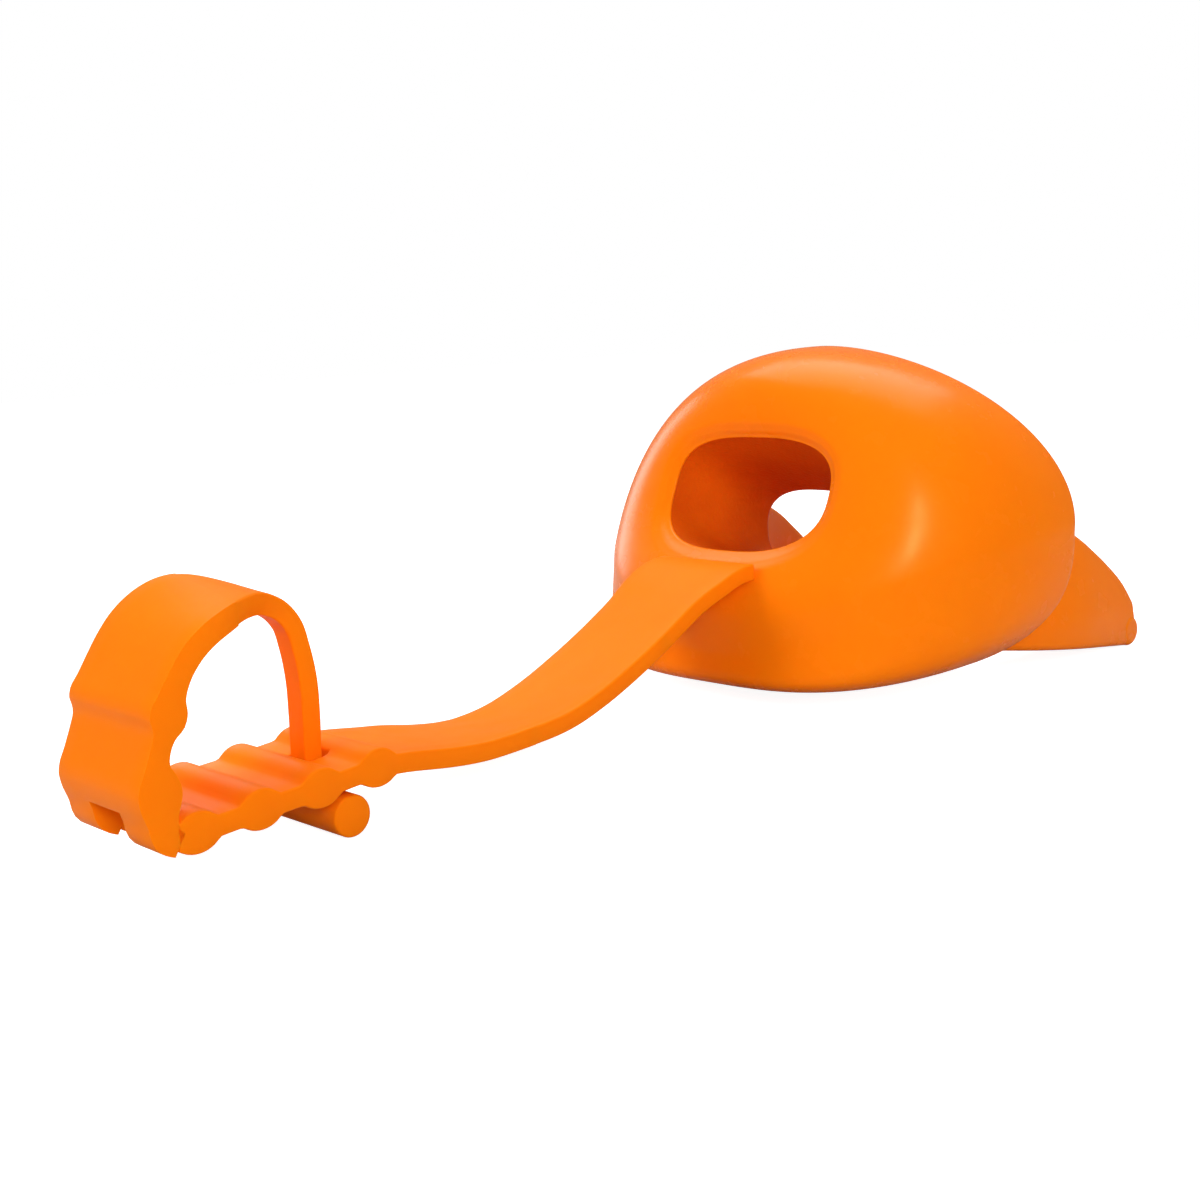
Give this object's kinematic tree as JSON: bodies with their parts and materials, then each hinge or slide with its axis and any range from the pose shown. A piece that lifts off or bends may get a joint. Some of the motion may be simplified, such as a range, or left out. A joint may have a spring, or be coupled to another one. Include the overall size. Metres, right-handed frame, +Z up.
{
  "type": "lip-shield mouthguard with tether strap",
  "caption": "Elastomer mouthguard: a domed lip shield with a through airway and a U-shaped bite tray, on a flat tether strap that ends in a ribbed loop closed by a toggle bar.",
  "frame": {"origin": "middle of the bottom of the bounding box, on the surface that the part lies on", "axes": "+Z up, +Y from the strap's loop towards the mouthpiece's rear ends, X across, with X = 0 the plane of symmetry"},
  "size_m": [0.0754, 0.1612, 0.0496],
  "materials": {
    "shield": "satin",
    "duct": "satin",
    "mouthpiece": "satin",
    "strap": "satin"
  },
  "bodies": {
    "root": {"lip_shield": "shield", "airway_duct": "duct", "mouthpiece_wall": "mouthpiece", "bite_plate": "mouthpiece", "end_bead_left": "mouthpiece", "end_bead_right": "mouthpiece", "strap_root": "strap"},
    "strap_upper": {"strap_upper": "strap"},
    "strap_lower": {"strap_lower": "strap"},
    "ladder": {"ladder": "strap"},
    "panel": {"fold_panel": "strap"},
    "arch": {"loop_arch": "strap"},
    "tail": {"tail_cord": "strap", "toggle_bar": "strap"}
  },
  "joints": [
    {"name": "strap_root_flex", "type": "hinge", "parent": "root", "child": "strap_upper", "pos_m": [0, 0.0071, 0.0176], "axis": [-1, 0, 0], "range_deg": [-25, 35], "stiffness_Nm_per_rad": 0.2},
    {"name": "strap_mid_flex", "type": "hinge", "parent": "strap_upper", "child": "strap_lower", "pos_m": [0, -0.0154, 0.007], "axis": [-1, 0, 0], "range_deg": [-30, 30], "stiffness_Nm_per_rad": 0.2},
    {"name": "strap_end_flex", "type": "hinge", "parent": "strap_lower", "child": "ladder", "pos_m": [0, -0.0404, 0.0058], "axis": [-1, 0, 0], "range_deg": [-25, 25], "stiffness_Nm_per_rad": 0.2},
    {"name": "fold_flex", "type": "hinge", "parent": "ladder", "child": "panel", "pos_m": [0, -0.0768, 0.0054], "axis": [1, 0, 0], "range_deg": [-1.1, 0.1]},
    {"name": "loop_cinch", "type": "hinge", "parent": "panel", "child": "arch", "pos_m": [0, -0.0756, 0.0216], "axis": [1, 0, 0], "range_deg": [-15, 0], "stiffness_Nm_per_rad": 0.2},
    {"name": "tail_flex", "type": "hinge", "parent": "arch", "child": "tail", "pos_m": [0, -0.0562, 0.0225], "axis": [1, 0, 0], "range_deg": [-0.1, 16.1]}
  ],
  "couplings": [
    {"joint": "fold_flex", "follows": "loop_cinch", "ratio": 0.067},
    {"joint": "tail_flex", "follows": "loop_cinch", "ratio": -1.067}
  ]
}
